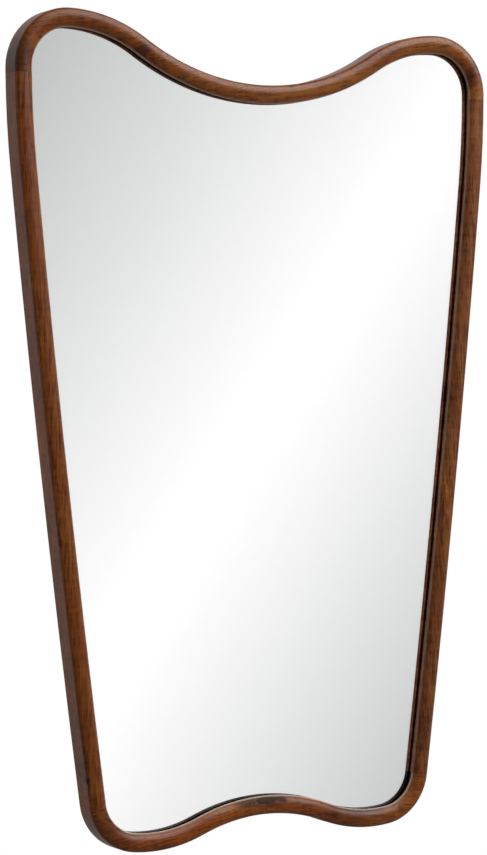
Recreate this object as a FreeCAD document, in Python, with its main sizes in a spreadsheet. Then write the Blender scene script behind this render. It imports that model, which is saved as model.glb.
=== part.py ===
import FreeCAD, Part
import math
import os
import Sketcher

# A wall mirror in a wavy wooden frame.
# X runs to the right of someone who looks at the mirror, Z runs up and Y runs into the wall.
# The origin is on the wall plane, level with the middle of the frame's height and width.

DRIVING_SIZES = {
    # Outline of the frame, seen from the front
    "frame_height": 914.0,
    "frame_width": 610.0,
    "dip_depth": 69.7,          # how far the top sinks between the two ears
    "ear_radius": 173.0,
    "corner_radius": 65.4,
    "brow_radius": 1114.0,      # eases the corner into the side
    "side_radius": 19000.0,     # the sides bow out by a few millimetres only
    "heel_spread": 221.9,       # from the middle to the outside of a lower corner
    "heel_radius": 62.0,
    "foot_spread": 144.5,       # from the middle to the lowest point of a foot
    "foot_radius": 175.5,
    "rise_height": 27.8,        # how far the bottom lifts between the two feet
    # Moulding of the frame
    "face_width": 20.8,
    "back_land_width": 13.0,    # flat behind the rebate, seen from the wall
    "lip_depth": 9.9,           # wood in front of the glass
    "board_recess": 3.0,        # from the frame's back to the board's back
    "lip_drop": 5.8,            # from the crest of the face to the edge beside the glass
    "outer_round": 4.0,
    "lip_round": 0.8,
    "lip_undercut": 1.1,        # the lip leans back this far on its way down to the glass
    "back_round": 1.5,
    # Loose tenons
    "tenon_thickness": 4.0,
    "tenon_height": 14.0,
    "tenon_length": 24.0,
    "glue_gap": 0.05,
    "mortise_end_gap": 0.6,
    # Glass and board
    "glass_thickness": 4.0,
    "silver_thickness": 0.1,
    "board_thickness": 12.0,
    "rebate_clearance": 1.5,
    # Clips that hold the board in the rebate
    "clip_thickness": 1.2,
    "clip_width": 14.0,
    "clip_edge_inset": 2.2,
    "clip_leg_length": 11.0,
    "clip_corner_round": 3.0,
    "clip_bend_radius": 0.3,
    "board_to_clip_gap": 1.2,   # from the board's edge to the clip's riser
    # Screws
    "screw_radius": 1.5,
    "screw_length": 10.0,
    "screw_tip_length": 3.0,
    "screw_tip_radius": 0.3,
    "screw_head_radius": 2.8,
    "screw_head_height": 1.6,
    "screw_head_rim": 0.5,
    "screw_hole_gap": 0.25,
    "pilot_gap": 0.05,
    # Hangers
    "hanger_side_inset": 105.0, # from the frame's widest place to a hanger's middle
    "hanger_drop": 242.0,       # from the frame's top to the rings' axes
    "strap_width": 14.0,
    "strap_thickness": 1.2,
    "strap_length": 40.0,
    "strap_end_round": 5.0,
    "strap_first_hole": 22.0,   # from the ring's axis
    "strap_hole_spacing": 12.0,
    "strap_ease_length": 4.0,   # the strap lifts to its eye over this length
    "eye_gap": 0.08,
    "eye_opening": 0.35,        # from the rolled end to the strap
    "ring_wire": 2.5,
    "ring_inside_width": 20.0,
    "ring_bend_radius": 3.0,
    "ring_side_length": 2.0,
    "ring_lift": 0.3,           # from the hanging ring to the strap behind it
    # Bumpers
    "bumper_radius": 4.0,
    "bumper_height": 3.0,       # also the gap between frame and wall
    "bumper_round": 0.8,
}

# The crest of the face, as a share of the face's width from its outer edge
CREST_SHARE = 0.425

# Places along one stretch of the outline, as shares of that stretch's length
JOINT_SHARES = {
    "top": ("dip", 0.07),       # left of the middle only
    "upper_right": ("right_brow", 0.058),
    "lower_right": ("right_heel", 0.0),
    "bottom": ("rise", 0.5),
    "lower_left": ("left_side", 0.0),
    "upper_left": ("left_brow", 0.942),
}
SIDE_CLIP_SHARES = (0.12, 0.5, 0.88)
DIP_CLIP_SHARES = (0.3, 0.7)
FOOT_CLIP_SHARES = (0.6,)
BUMPER_SHARES = {"corner": 0.35, "heel": 0.5}

doc = FreeCAD.newDocument("WavyMirror")
sheet = doc.addObject("Spreadsheet::Sheet", "Sizes")


class Size(float):
    """A length that remembers how it follows from the named sizes."""

    def __new__(cls, value, text):
        made = float.__new__(cls, value)
        made.text = text
        return made

    def combine(self, value, sign, left, right):
        words = [getattr(term, "text", repr(float(term))) for term in (left, right)]
        return Size(value, "(" + words[0] + " " + sign + " " + words[1] + ")")

    def __add__(self, other):
        return self.combine(float(self) + float(other), "+", self, other)

    def __sub__(self, other):
        return self.combine(float(self) - float(other), "-", self, other)

    def __mul__(self, other):
        return self.combine(float(self) * float(other), "*", self, other)

    def __truediv__(self, other):
        return self.combine(float(self) / float(other), "/", self, other)

    def __neg__(self):
        return Size(-float(self), "(-" + self.text + ")")


class SheetReader:
    """Gives each named size as an attribute."""

    def __getattr__(self, alias):
        return Size(sheet.get(alias), "Sizes." + alias)


size = SheetReader()


def root(value):
    """The side of a square of this area."""
    return Size(math.sqrt(value), "sqrt(" + value.text + ")")


def fill_sheet():
    for row, (alias, value) in enumerate(DRIVING_SIZES.items(), start=1):
        sheet.set("A" + str(row), alias)
        sheet.set("B" + str(row), str(value))
        sheet.setAlias("B" + str(row), alias)
    doc.recompute()


# The outline as tangent arcs

def direction(start, end):
    return math.atan2(end[1] - start[1], end[0] - start[0])


def meeting_point(first, first_reach, second, second_reach):
    """The point on the left that lies at the given reaches from two centres."""
    gap = math.hypot(second[0] - first[0], second[1] - first[1])
    along = (first_reach ** 2 - second_reach ** 2 + gap ** 2) / (2 * gap)
    aside = math.sqrt(first_reach ** 2 - along ** 2)
    ahead = ((second[0] - first[0]) / gap, (second[1] - first[1]) / gap)
    choices = [
        (first[0] + along * ahead[0] - way * aside * ahead[1],
         first[1] + along * ahead[1] + way * aside * ahead[0])
        for way in (1, -1)
    ]
    return min(choices)


def wave_radius(reach, height, neighbour_radius):
    """Radius of an arc centred on the middle that meets its neighbour's arc smoothly."""
    return (reach * reach + height * height) / (height * 2) - neighbour_radius


class Arc:
    """One arc of the outline, walked clockwise round the mirror as seen from the front."""

    def __init__(self, centre, radius, start, end):
        self.centre = centre
        self.radius = radius
        self.start = start
        self.end = end

    def hollow(self):
        return self.end > self.start

    def point(self, angle, inset=0.0):
        reach = float(self.radius) + (inset if self.hollow() else -inset)
        return (self.centre[0] + reach * math.cos(angle), self.centre[1] + reach * math.sin(angle))

    def inward(self, angle):
        turn = angle if self.hollow() else angle + math.pi
        return (math.cos(turn), math.sin(turn))

    def at_share(self, share):
        return self.start + (self.end - self.start) * share

    def moved_inward(self, inset):
        radius = self.radius + inset if self.hollow() else self.radius - inset
        return Arc(self.centre, radius, self.start, self.end)

    def trimmed(self, start, end):
        return Arc(self.centre, self.radius, start, end)

    def mirrored(self):
        return Arc((-self.centre[0], self.centre[1]), self.radius, math.pi - self.end, math.pi - self.start)


def outline_arcs():
    """All arcs of the outer outline by name, clockwise from the dip in the middle of the top."""
    half_width = size.frame_width / 2
    half_height = size.frame_height / 2
    corner_centre = (half_width - size.corner_radius, half_height - size.corner_radius)
    ear_centre = (corner_centre[0], half_height - size.ear_radius)
    dip_radius = wave_radius(ear_centre[0], size.dip_depth, size.ear_radius)
    dip_centre = (0.0, half_height - size.dip_depth + dip_radius)
    brow_centre = (half_width - size.brow_radius, corner_centre[1])
    foot_centre = (size.foot_spread, size.foot_radius - half_height)
    heel_across = size.heel_spread - size.heel_radius
    heel_reach = size.foot_radius - size.heel_radius
    heel_down = math.sqrt(heel_reach ** 2 - (heel_across - size.foot_spread) ** 2)
    heel_centre = (heel_across, foot_centre[1] - heel_down)
    side_centre = meeting_point(
        brow_centre, size.side_radius - size.brow_radius,
        heel_centre, size.side_radius - size.heel_radius,
    )
    rise_radius = wave_radius(size.foot_spread, size.rise_height, size.foot_radius)
    rise_centre = (0.0, size.rise_height - half_height - rise_radius)
    quarter = math.pi / 2
    dip_end = direction(dip_centre, ear_centre)
    side_start = direction(side_centre, brow_centre)
    side_end = direction(side_centre, heel_centre)
    heel_end = direction(foot_centre, heel_centre)
    foot_end = direction(foot_centre, rise_centre)
    rise_start = direction(rise_centre, foot_centre)
    right = {
        "ear": Arc(ear_centre, size.ear_radius, dip_end + math.pi, quarter),
        "corner": Arc(corner_centre, size.corner_radius, quarter, 0.0),
        "brow": Arc(brow_centre, size.brow_radius, 0.0, side_start),
        "side": Arc(side_centre, size.side_radius, side_start, side_end),
        "heel": Arc(heel_centre, size.heel_radius, side_end, heel_end),
        "foot": Arc(foot_centre, size.foot_radius, heel_end, foot_end),
    }
    arcs = {"dip": Arc(dip_centre, dip_radius, -math.pi - dip_end, dip_end)}
    for name, arc in right.items():
        arcs["right_" + name] = arc
    arcs["rise"] = Arc(rise_centre, rise_radius, rise_start, math.pi - rise_start)
    for name, arc in reversed(list(right.items())):
        arcs["left_" + name] = arc.mirrored()
    return arcs


def joint_places(arcs):
    """Arc name and angle of each butt joint in the frame."""
    return {name: (arc, arcs[arc].at_share(share)) for name, (arc, share) in JOINT_SHARES.items()}


def stretch(arcs, start, end):
    """The arcs from one joint clockwise to the next."""
    names = list(arcs)
    first = names.index(start[0])
    run = []
    for step in range(len(names) + 1):
        name = names[(first + step) % len(names)]
        arc = arcs[name]
        begins = start[1] if step == 0 else arc.start
        if step > 0 and name == end[0]:
            run.append(arc.trimmed(begins, end[1]))
            break
        run.append(arc.trimmed(begins, arc.end))
    return [arc for arc in run if arc.end != arc.start]


# Sketching

def origin_plane(body, role):
    return [plane for plane in body.Origin.OriginFeatures if plane.Role == role][0]


def add_sketch(body, name, role, offset=None):
    sketch = body.newObject("Sketcher::SketchObject", name)
    sketch.AttachmentSupport = (origin_plane(body, role), [""])
    sketch.MapMode = "FlatFace"
    if offset is not None:
        sketch.AttachmentOffset = offset
    return sketch


def drive(sketch, kind, *terms):
    """Adds a dimension, whose last term is its value."""
    value = terms[-1]
    number = sketch.addConstraint(Sketcher.Constraint(kind, *terms[:-1], float(value)))
    if isinstance(value, Size):
        sketch.setExpression("Constraints[" + str(number) + "]", value.text)


def hold_point(sketch, edge, end, place):
    for kind, axis, value in (("DistanceX", -2, place[0]), ("DistanceY", -1, place[1])):
        if float(value) == 0:
            sketch.addConstraint(Sketcher.Constraint("PointOnObject", edge, end, axis))
        else:
            drive(sketch, kind, -1, 1, edge, end, value)


def bend_centre(start, end, radius, way):
    """Centre of a short arc; way is 1 when it runs counterclockwise and -1 when clockwise."""
    chord = math.hypot(end[0] - start[0], end[1] - start[1])
    aside = math.sqrt(float(radius) ** 2 - chord ** 2 / 4)
    across = ((start[1] - end[1]) / chord, (end[0] - start[0]) / chord)
    middle = ((start[0] + end[0]) / 2, (start[1] + end[1]) / 2)
    return (middle[0] + way * aside * across[0], middle[1] + way * aside * across[1])


def add_edge(sketch, start, end, bend):
    """Draws one edge and returns its number with the numbers of its first and last end."""
    if bend is None:
        line = Part.LineSegment(FreeCAD.Vector(start[0], start[1], 0), FreeCAD.Vector(end[0], end[1], 0))
        return sketch.addGeometry(line), 1, 2
    radius, way = bend
    centre = bend_centre(start, end, radius, way)
    middle = FreeCAD.Vector(centre[0], centre[1], 0)
    circle = Part.Circle(middle, FreeCAD.Vector(0, 0, 1), float(radius))
    angles = (direction(centre, start), direction(centre, end))
    if way > 0:
        return sketch.addGeometry(Part.ArcOfCircle(circle, angles[0], angles[1])), 1, 2
    return sketch.addGeometry(Part.ArcOfCircle(circle, angles[1], angles[0])), 2, 1


def draw(sketch, places, bends, closed=True):
    """Draws a chain of lines and arcs; bends gives the radius and way of each edge that is an arc."""
    count = len(places) if closed else len(places) - 1
    edges = []
    for number in range(count):
        following = places[(number + 1) % len(places)]
        edges.append(add_edge(sketch, places[number], following, bends.get(number)))
    for number, (edge, first, last) in enumerate(edges):
        hold_point(sketch, edge, first, places[number])
        if closed or number + 1 < count:
            following = edges[(number + 1) % count]
            sketch.addConstraint(Sketcher.Constraint("Coincident", edge, last, following[0], following[1]))
        else:
            hold_point(sketch, edge, last, places[-1])
        if number in bends:
            drive(sketch, "Radius", edge, bends[number][0])


def draw_arcs(sketch, arcs, closed):
    places = [arc.point(arc.start) for arc in arcs]
    if not closed:
        places.append(arcs[-1].point(arcs[-1].end))
    bends = {number: (arc.radius, 1 if arc.hollow() else -1) for number, arc in enumerate(arcs)}
    draw(sketch, places, bends, closed)


def draw_circle(sketch, place, radius):
    centre = FreeCAD.Vector(place[0], place[1], 0)
    edge = sketch.addGeometry(Part.Circle(centre, FreeCAD.Vector(0, 0, 1), float(radius)))
    if float(place[0]) == 0 and float(place[1]) == 0:
        sketch.addConstraint(Sketcher.Constraint("Coincident", edge, 3, -1, 1))
    else:
        hold_point(sketch, edge, 3, place)
    drive(sketch, "Radius", edge, radius)


# Solid features

def add_body(name):
    return doc.addObject("PartDesign::Body", name)


def pad(body, sketch, length, both_ways=False, reverse=False):
    feature = body.newObject("PartDesign::Pad", sketch.Name + "Pad")
    feature.Profile = sketch
    feature.Length = float(length)
    feature.setExpression("Length", length.text)
    feature.Midplane = both_ways
    feature.Reversed = reverse
    sketch.Visibility = False
    return feature


def pocket_through(body, sketch):
    feature = body.newObject("PartDesign::Pocket", sketch.Name + "Pocket")
    feature.Profile = sketch
    feature.Type = "ThroughAll"
    feature.Midplane = True
    return feature


def round_edges(body, base, radius, wanted):
    names = []
    for number, edge in enumerate(base.Shape.Edges, start=1):
        if wanted(edge):
            names.append("Edge" + str(number))
    feature = body.newObject("PartDesign::Fillet", base.Name + "Round")
    feature.Base = (base, names)
    feature.Radius = float(radius)
    feature.setExpression("Radius", radius.text)
    return feature


def sweep(body, section, path, edge_count):
    feature = body.newObject("PartDesign::AdditivePipe", body.Name + "Sweep")
    feature.Profile = section
    feature.Spine = (path, ["Edge" + str(number + 1) for number in range(edge_count)])
    feature.Mode = "Standard"
    return feature


# Places on the frame

def frame_height_of(part):
    """How far a layer of the mirror lies in front of the frame's back."""
    board_front = size.board_recess + size.board_thickness
    glass_back = board_front + size.silver_thickness
    levels = {
        "board back": size.board_recess,
        "board front": board_front,
        "glass back": glass_back,
        "rebate floor": glass_back + size.glass_thickness,
    }
    return levels[part]


def frame_depth():
    return frame_height_of("rebate floor") + size.lip_depth


def on_outline(arc, angle, inset=0.0, height=0.0):
    """Placement with X inward, Y away from the wall and Z along the outline."""
    place = arc.point(angle, inset)
    inward = arc.inward(angle)
    base = FreeCAD.Vector(place[0], -size.bumper_height - height, place[1])
    across = FreeCAD.Vector(inward[0], 0, inward[1])
    front = FreeCAD.Vector(0, -1, 0)
    return FreeCAD.Placement(base, FreeCAD.Rotation(across, front, across.cross(front), "XYZ"))


# Frame members

def draw_moulding(sketch):
    """The face is one arc over a crest, with a round outside and a crisp edge beside the glass."""
    depth = frame_depth()
    floor = frame_height_of("rebate floor")
    crest = size.face_width * CREST_SHARE
    reach = size.face_width - crest
    crown = (reach * reach + size.lip_drop * size.lip_drop) / (size.lip_drop * 2)
    crown_centre = depth - crown
    outer_reach = crown - size.outer_round
    outer_side = crest - size.outer_round
    outer_up = root(outer_reach * outer_reach - outer_side * outer_side)
    lip_reach = crown - size.lip_round
    lip_side = reach - size.lip_round
    lip_up = root(lip_reach * lip_reach - lip_side * lip_side)
    zero = 0.0
    places = [
        (zero, size.back_round),
        (zero, crown_centre + outer_up),
        (crest - outer_side * crown / outer_reach, crown_centre + outer_up * crown / outer_reach),
        (crest + lip_side * crown / lip_reach, crown_centre + lip_up * crown / lip_reach),
        (size.face_width, crown_centre + lip_up),
        (size.face_width - size.lip_undercut, floor),
        (size.back_land_width, floor),
        (size.back_land_width, zero),
        (size.back_round, zero),
    ]
    bends = {
        1: (size.outer_round, -1),
        2: (crown, -1),
        3: (size.lip_round, -1),
        8: (size.back_round, -1),
    }
    draw(sketch, places, bends)


def member(name, arcs):
    """One length of moulding, swept along its own stretch of the outline."""
    body = add_body(name)
    path = add_sketch(body, name + "Path", "XZ_Plane")
    path.setExpression("AttachmentOffset.Base.z", size.bumper_height.text)
    draw_arcs(path, arcs, closed=False)
    section = add_sketch(body, name + "Section", "XY_Plane", on_outline(arcs[0], arcs[0].start))
    draw_moulding(section)
    sweep(body, section, path, len(arcs))
    return body


def tenon_body(name, gap, length):
    """Flat loose tenon with rounded edges, or the mortise for it where gap is not zero."""
    body = add_body(name)
    sketch = add_sketch(body, name + "Section", "XY_Plane")
    half = size.tenon_thickness / 2
    side = size.tenon_height / 2 - half
    wide = half + gap
    top = side + wide
    places = [
        (wide, -side), (wide, side), (0.0, top), (-wide, side),
        (-wide, -side), (0.0, -top),
    ]
    bends = {1: (wide, 1), 2: (wide, 1), 4: (wide, 1), 5: (wide, 1)}
    draw(sketch, places, bends)
    pad(body, sketch, length, both_ways=True)
    return body


# Layers in the rebate

def layer(name, arcs, back, thickness):
    """A flat sheet with the outline of the rebate less its clearance."""
    body = add_body(name)
    sketch = add_sketch(body, name + "Outline", "XZ_Plane")
    sketch.setExpression("AttachmentOffset.Base.z", (size.bumper_height + back).text)
    inset = size.back_land_width + size.rebate_clearance
    draw_arcs(sketch, [arc.moved_inward(inset) for arc in arcs.values()], closed=True)
    pad(body, sketch, thickness)
    return body


# Metal parts

def clip_body():
    """Offset clip: its foot lies on the frame's back and its leg presses on the board."""
    body = add_body("ClipMaster")
    sketch = add_sketch(body, "ClipProfile", "XY_Plane")
    thick = size.clip_thickness
    inner = size.clip_bend_radius
    outer = inner + thick
    board = frame_height_of("board back")
    riser = size.back_land_width + size.rebate_clearance + size.board_to_clip_gap
    leg_end = riser + size.clip_leg_length
    zero = 0.0
    places = [
        (size.clip_edge_inset, zero), (riser - inner, zero), (riser, inner),
        (riser, board - outer), (riser + outer, board), (leg_end, board),
        (leg_end, board - thick), (riser + outer, board - thick),
        (riser + thick, board - outer), (riser + thick, outer - thick),
        (riser - inner, -thick), (size.clip_edge_inset, -thick),
    ]
    bends = {1: (inner, 1), 3: (outer, -1), 7: (inner, 1), 9: (outer, -1)}
    draw(sketch, places, bends)
    pad(body, sketch, size.clip_width, both_ways=True)
    holes = add_sketch(body, "ClipHole", "XZ_Plane")
    draw_circle(holes, (size.back_land_width / 2, zero), size.screw_radius + size.screw_hole_gap)
    drilled = pocket_through(body, holes)
    doc.recompute()

    def at_corner(edge):
        box = edge.BoundBox
        if box.YLength < thick / 2 or box.XLength + box.ZLength > thick / 2:
            return False
        return box.XMax < size.clip_edge_inset + thick or box.XMin > leg_end - thick

    round_edges(body, drilled, size.clip_corner_round, at_corner)
    return body


def screw_body():
    """Pan-head wood screw along Y, its head's underside at zero."""
    body = add_body("ScrewMaster")
    sketch = add_sketch(body, "ScrewProfile", "XY_Plane")
    dome = size.screw_head_height - size.screw_head_rim
    dome_radius = (size.screw_head_radius * size.screw_head_radius + dome * dome) / (dome * 2)
    zero = 0.0
    places = [
        (zero, -size.screw_head_height),
        (size.screw_head_radius, -size.screw_head_rim),
        (size.screw_head_radius, zero),
        (size.screw_radius, zero),
        (size.screw_radius, size.screw_length - size.screw_tip_length),
        (size.screw_tip_radius, size.screw_length),
        (zero, size.screw_length),
    ]
    draw(sketch, places, {0: (dome_radius, 1)})
    turned = body.newObject("PartDesign::Revolution", "ScrewTurned")
    turned.Profile = sketch
    turned.ReferenceAxis = (sketch, ["V_Axis"])
    turned.Angle = 360.0
    return body


def pilot_body():
    body = add_body("PilotMaster")
    sketch = add_sketch(body, "PilotCircle", "XZ_Plane")
    draw_circle(sketch, (0.0, 0.0), size.screw_radius + size.pilot_gap)
    pad(body, sketch, size.screw_length + size.pilot_gap, reverse=True)
    return body


def strap_body(name, place):
    """Hanger strap whose upper end is rolled into an eye for the ring's bar."""
    body = add_body(name)
    sketch = add_sketch(body, name + "Profile", "YZ_Plane")
    back = -eye_height()
    front = size.strap_thickness - eye_height()
    inner = size.ring_wire / 2 + size.eye_gap
    outer = inner + size.strap_thickness
    zero = 0.0
    lip = math.acos((front + size.eye_opening) / outer)
    lip_across = math.cos(lip)
    lip_down = -math.sin(lip)
    places = [
        (back, -size.strap_length), (back, -size.strap_ease_length),
        (-outer, zero), (zero, outer), (outer, zero), (zero, -outer),
        (outer * lip_across, outer * lip_down), (inner * lip_across, inner * lip_down),
        (zero, -inner), (inner, zero), (zero, inner), (-inner, zero),
        (front, -size.strap_ease_length), (front, -size.strap_length),
    ]
    bends = {number: (outer, -1) for number in (2, 3, 4, 5)}
    bends.update({number: (inner, 1) for number in (7, 8, 9, 10)})
    draw(sketch, places, bends)
    pad(body, sketch, size.strap_width, both_ways=True)
    holes = add_sketch(body, name + "Holes", "XZ_Plane")
    for place_down in strap_hole_places():
        draw_circle(holes, (zero, place_down), size.screw_radius + size.screw_hole_gap)
    drilled = pocket_through(body, holes)
    doc.recompute()

    def at_lower_corner(edge):
        ends = [vertex.Point for vertex in edge.Vertexes]
        if len(ends) < 2 or abs(ends[0].y - ends[1].y) < size.strap_thickness / 2:
            return False
        return max(ends[0].z, ends[1].z) < size.strap_end_round - size.strap_length

    round_edges(body, drilled, size.strap_end_round, at_lower_corner)
    body.Placement.Base = place
    return body


def eye_height():
    """From the board to the axis of the ring."""
    return size.strap_thickness + size.ring_lift + size.ring_wire / 2


def strap_hole_places():
    return [-size.strap_first_hole, -size.strap_first_hole - size.strap_hole_spacing]


def ring_body(name, place):
    """D-shaped wire ring that hangs from its straight bar."""
    body = add_body(name)
    path = add_sketch(body, name + "Path", "XZ_Plane")
    half = (size.ring_inside_width + size.ring_wire) / 2
    bend = size.ring_bend_radius
    side_end = -bend - size.ring_side_length
    zero = 0.0
    places = [
        (zero, zero), (half - bend, zero), (half, -bend), (half, side_end),
        (zero, side_end - half), (-half, side_end), (-half, -bend), (bend - half, zero),
    ]
    bends = {1: (bend, -1), 3: (half, -1), 4: (half, -1), 6: (bend, -1)}
    draw(path, places, bends)
    section = add_sketch(body, name + "Section", "YZ_Plane")
    draw_circle(section, (zero, zero), size.ring_wire / 2)
    sweep(body, section, path, len(places))
    body.Placement.Base = place
    return body


def bumper_body(name, arc, share):
    body = add_body(name)
    sketch = add_sketch(body, name + "Circle", "XZ_Plane")
    draw_circle(sketch, (0.0, 0.0), size.bumper_radius)
    disc = pad(body, sketch, size.bumper_height, reverse=True)
    doc.recompute()

    def at_wall(edge):
        return edge.BoundBox.YMin > size.bumper_height / 2

    round_edges(body, disc, size.bumper_round, at_wall)
    body.Placement.Base = on_outline(arc, arc.at_share(share), size.back_land_width / 2).Base
    return body


# Putting the pieces together

def copy_of(master, name, placement):
    link = doc.addObject("App::Link", name)
    link.LinkedObject = master
    link.Placement = placement
    return link


def grouped(name, pieces):
    group = doc.addObject("Part::Compound", name)
    group.Links = pieces
    return group


def cut(name, base, tool):
    feature = doc.addObject("Part::Cut", name)
    feature.Base = base
    feature.Tool = tool
    return feature


def clip_spots(arcs):
    spots = [("dip", share) for share in DIP_CLIP_SHARES]
    for side in ("right_", "left_"):
        spots += [(side + "side", share) for share in SIDE_CLIP_SHARES]
        spots += [(side + "foot", share) for share in FOOT_CLIP_SHARES]
    return [(arcs[name], arcs[name].at_share(share)) for name, share in spots]


def hanger_place(way):
    """Where the ring's bar turns, on the left for -1 and on the right for 1."""
    board_back = size.bumper_height + frame_height_of("board back")
    across = (size.frame_width / 2 - size.hanger_side_inset) * way
    up = size.frame_height / 2 - size.hanger_drop
    return FreeCAD.Vector(across, eye_height() - board_back, up)


def build():
    fill_sheet()
    arcs = outline_arcs()
    joints = joint_places(arcs)
    nodes = {}

    members = {
        "top_right_rail": ("top", "upper_right"),
        "right_stile": ("upper_right", "lower_right"),
        "bottom_right_rail": ("lower_right", "bottom"),
        "bottom_left_rail": ("bottom", "lower_left"),
        "left_stile": ("lower_left", "upper_left"),
        "top_left_rail": ("upper_left", "top"),
    }
    mortise = tenon_body("MortiseMaster", size.glue_gap, size.tenon_length + size.mortise_end_gap * 2)
    pilot = pilot_body()
    hollows = []
    depth = frame_depth()
    for name, (arc_name, angle) in joints.items():
        spot = on_outline(arcs[arc_name], angle, size.back_land_width / 2, depth / 2)
        hollows.append(copy_of(mortise, "Mortise_" + name, spot))
        tenon = tenon_body("Tenon_" + name, 0.0, size.tenon_length)
        tenon.Placement = spot
        nodes["tenon_" + name] = tenon
    for number, (arc, angle) in enumerate(clip_spots(arcs)):
        spot = on_outline(arc, angle, size.back_land_width / 2)
        hollows.append(copy_of(pilot, "Pilot_" + str(number), spot))
    hollow_group = grouped("FrameHollows", hollows)
    for name, (start, end) in members.items():
        body = member("Member_" + name, stretch(arcs, joints[start], joints[end]))
        nodes[name] = cut("Cut_" + name, body, hollow_group)

    glass_back = frame_height_of("glass back")
    board_front = frame_height_of("board front")
    nodes["mirror_glass"] = layer("Glass", arcs, glass_back, size.glass_thickness)
    nodes["silver_coating"] = layer("Silver", arcs, board_front, size.silver_thickness)
    board = layer("Board", arcs, size.board_recess, size.board_thickness)

    clip = clip_body()
    screw = screw_body()
    clips = []
    screws = []
    for number, (arc, angle) in enumerate(clip_spots(arcs)):
        clips.append(copy_of(clip, "Clip_" + str(number), on_outline(arc, angle)))
        spot = on_outline(arc, angle, size.back_land_width / 2, -size.clip_thickness)
        screws.append(copy_of(screw, "ClipScrew_" + str(number), spot))
    nodes["board_clips"] = grouped("Clips", clips)
    nodes["clip_screws"] = grouped("ClipScrews", screws)

    board_holes = []
    for word, way in (("left", -1), ("right", 1)):
        place = hanger_place(way)
        nodes[word + "_hanger_strap"] = strap_body("Strap_" + word, place)
        nodes[word + "_hanger_ring"] = ring_body("Ring_" + word, place)
        hanger_screws = []
        for number, down in enumerate(strap_hole_places()):
            turned = FreeCAD.Rotation(FreeCAD.Vector(1, 0, 0), 180)
            head = FreeCAD.Vector(place.x, place.y + size.strap_thickness - eye_height(), place.z + down)
            mouth = FreeCAD.Vector(place.x, place.y - eye_height(), place.z + down)
            tag = word + "_" + str(number)
            hanger_screws.append(copy_of(screw, "HangerScrew_" + tag, FreeCAD.Placement(head, turned)))
            board_holes.append(copy_of(pilot, "BoardPilot_" + tag, FreeCAD.Placement(mouth, turned)))
        nodes[word + "_hanger_screws"] = grouped("HangerScrews_" + word, hanger_screws)
    nodes["backing_board"] = cut("Cut_board", board, grouped("BoardHoles", board_holes))

    for level, arc_name in (("upper", "corner"), ("lower", "heel")):
        for side in ("left", "right"):
            share = BUMPER_SHARES[arc_name]
            if side == "left":
                share = 1 - share
            name = level + "_" + side + "_bumper"
            nodes[name] = bumper_body("Bumper_" + level + "_" + side, arcs[side + "_" + arc_name], share)

    doc.recompute()
    return nodes


def check(nodes):
    for thing in doc.Objects:
        if "Invalid" in thing.State or "Error" in thing.State:
            raise RuntimeError(thing.Name + " failed: " + str(thing.State))
    for name, node in nodes.items():
        if node.Shape.isNull() or not node.Shape.isValid() or node.Shape.Volume <= 0:
            raise RuntimeError(name + " has no sound shape")


def write(nodes):
    os.makedirs("parts", exist_ok=True)
    for name, node in nodes.items():
        node.Label = name
        node.Shape.exportStep("parts/" + name + ".step")
        print(name, "solids", len(node.Shape.Solids), "volume", round(node.Shape.Volume, 1))


made = build()
check(made)
write(made)
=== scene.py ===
import math

import bmesh
import bpy
from mathutils import Matrix, Vector, geometry


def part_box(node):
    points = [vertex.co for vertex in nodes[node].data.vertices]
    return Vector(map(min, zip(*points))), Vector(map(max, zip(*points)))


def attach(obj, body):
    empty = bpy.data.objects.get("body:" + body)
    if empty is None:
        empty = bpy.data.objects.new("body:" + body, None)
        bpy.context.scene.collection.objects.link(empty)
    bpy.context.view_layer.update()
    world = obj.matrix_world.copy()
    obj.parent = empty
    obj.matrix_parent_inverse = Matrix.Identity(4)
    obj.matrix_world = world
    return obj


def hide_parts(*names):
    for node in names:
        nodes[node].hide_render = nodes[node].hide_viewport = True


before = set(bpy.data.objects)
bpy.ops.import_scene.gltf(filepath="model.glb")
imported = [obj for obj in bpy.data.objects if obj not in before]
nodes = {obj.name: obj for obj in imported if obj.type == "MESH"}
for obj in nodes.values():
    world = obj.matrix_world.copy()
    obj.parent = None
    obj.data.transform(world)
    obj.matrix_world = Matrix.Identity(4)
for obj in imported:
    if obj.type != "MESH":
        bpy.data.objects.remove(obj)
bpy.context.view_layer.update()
print("frame loaded with", len(nodes), "nodes")

scene = bpy.context.scene
scene.view_settings.view_transform = "Standard"


# Small helpers for node trees

def newMaterial(name):
    material = bpy.data.materials.new(name)
    material.use_nodes = True
    tree = material.node_tree
    tree.nodes.clear()
    shader = tree.nodes.new("ShaderNodeBsdfPrincipled")
    output = tree.nodes.new("ShaderNodeOutputMaterial")
    tree.links.new(shader.outputs["BSDF"], output.inputs["Surface"])
    return material, tree, shader


def plug(tree, socket, value):
    # a value is either another node's output or a plain number, colour or vector
    if isinstance(value, bpy.types.NodeSocket):
        tree.links.new(value, socket)
    else:
        socket.default_value = value


def mathNode(tree, operation, first, second=0.0, clamp=False):
    node = tree.nodes.new("ShaderNodeMath")
    node.operation = operation
    node.use_clamp = clamp
    plug(tree, node.inputs[0], first)
    plug(tree, node.inputs[1], second)
    return node.outputs[0]


def plus(tree, first, second, clamp=False):
    return mathNode(tree, "ADD", first, second, clamp)


def minus(tree, first, second):
    return mathNode(tree, "SUBTRACT", first, second)


def times(tree, first, second):
    return mathNode(tree, "MULTIPLY", first, second)


def vectorNode(tree, operation, first, second=(0.0, 0.0, 0.0), scale=None):
    node = tree.nodes.new("ShaderNodeVectorMath")
    node.operation = operation
    plug(tree, node.inputs[0], first)
    if scale is None:
        plug(tree, node.inputs[1], second)
    else:
        plug(tree, node.inputs["Scale"], scale)
    return node.outputs["Value"] if operation in ("DOT_PRODUCT", "LENGTH") else node.outputs[0]


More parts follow.
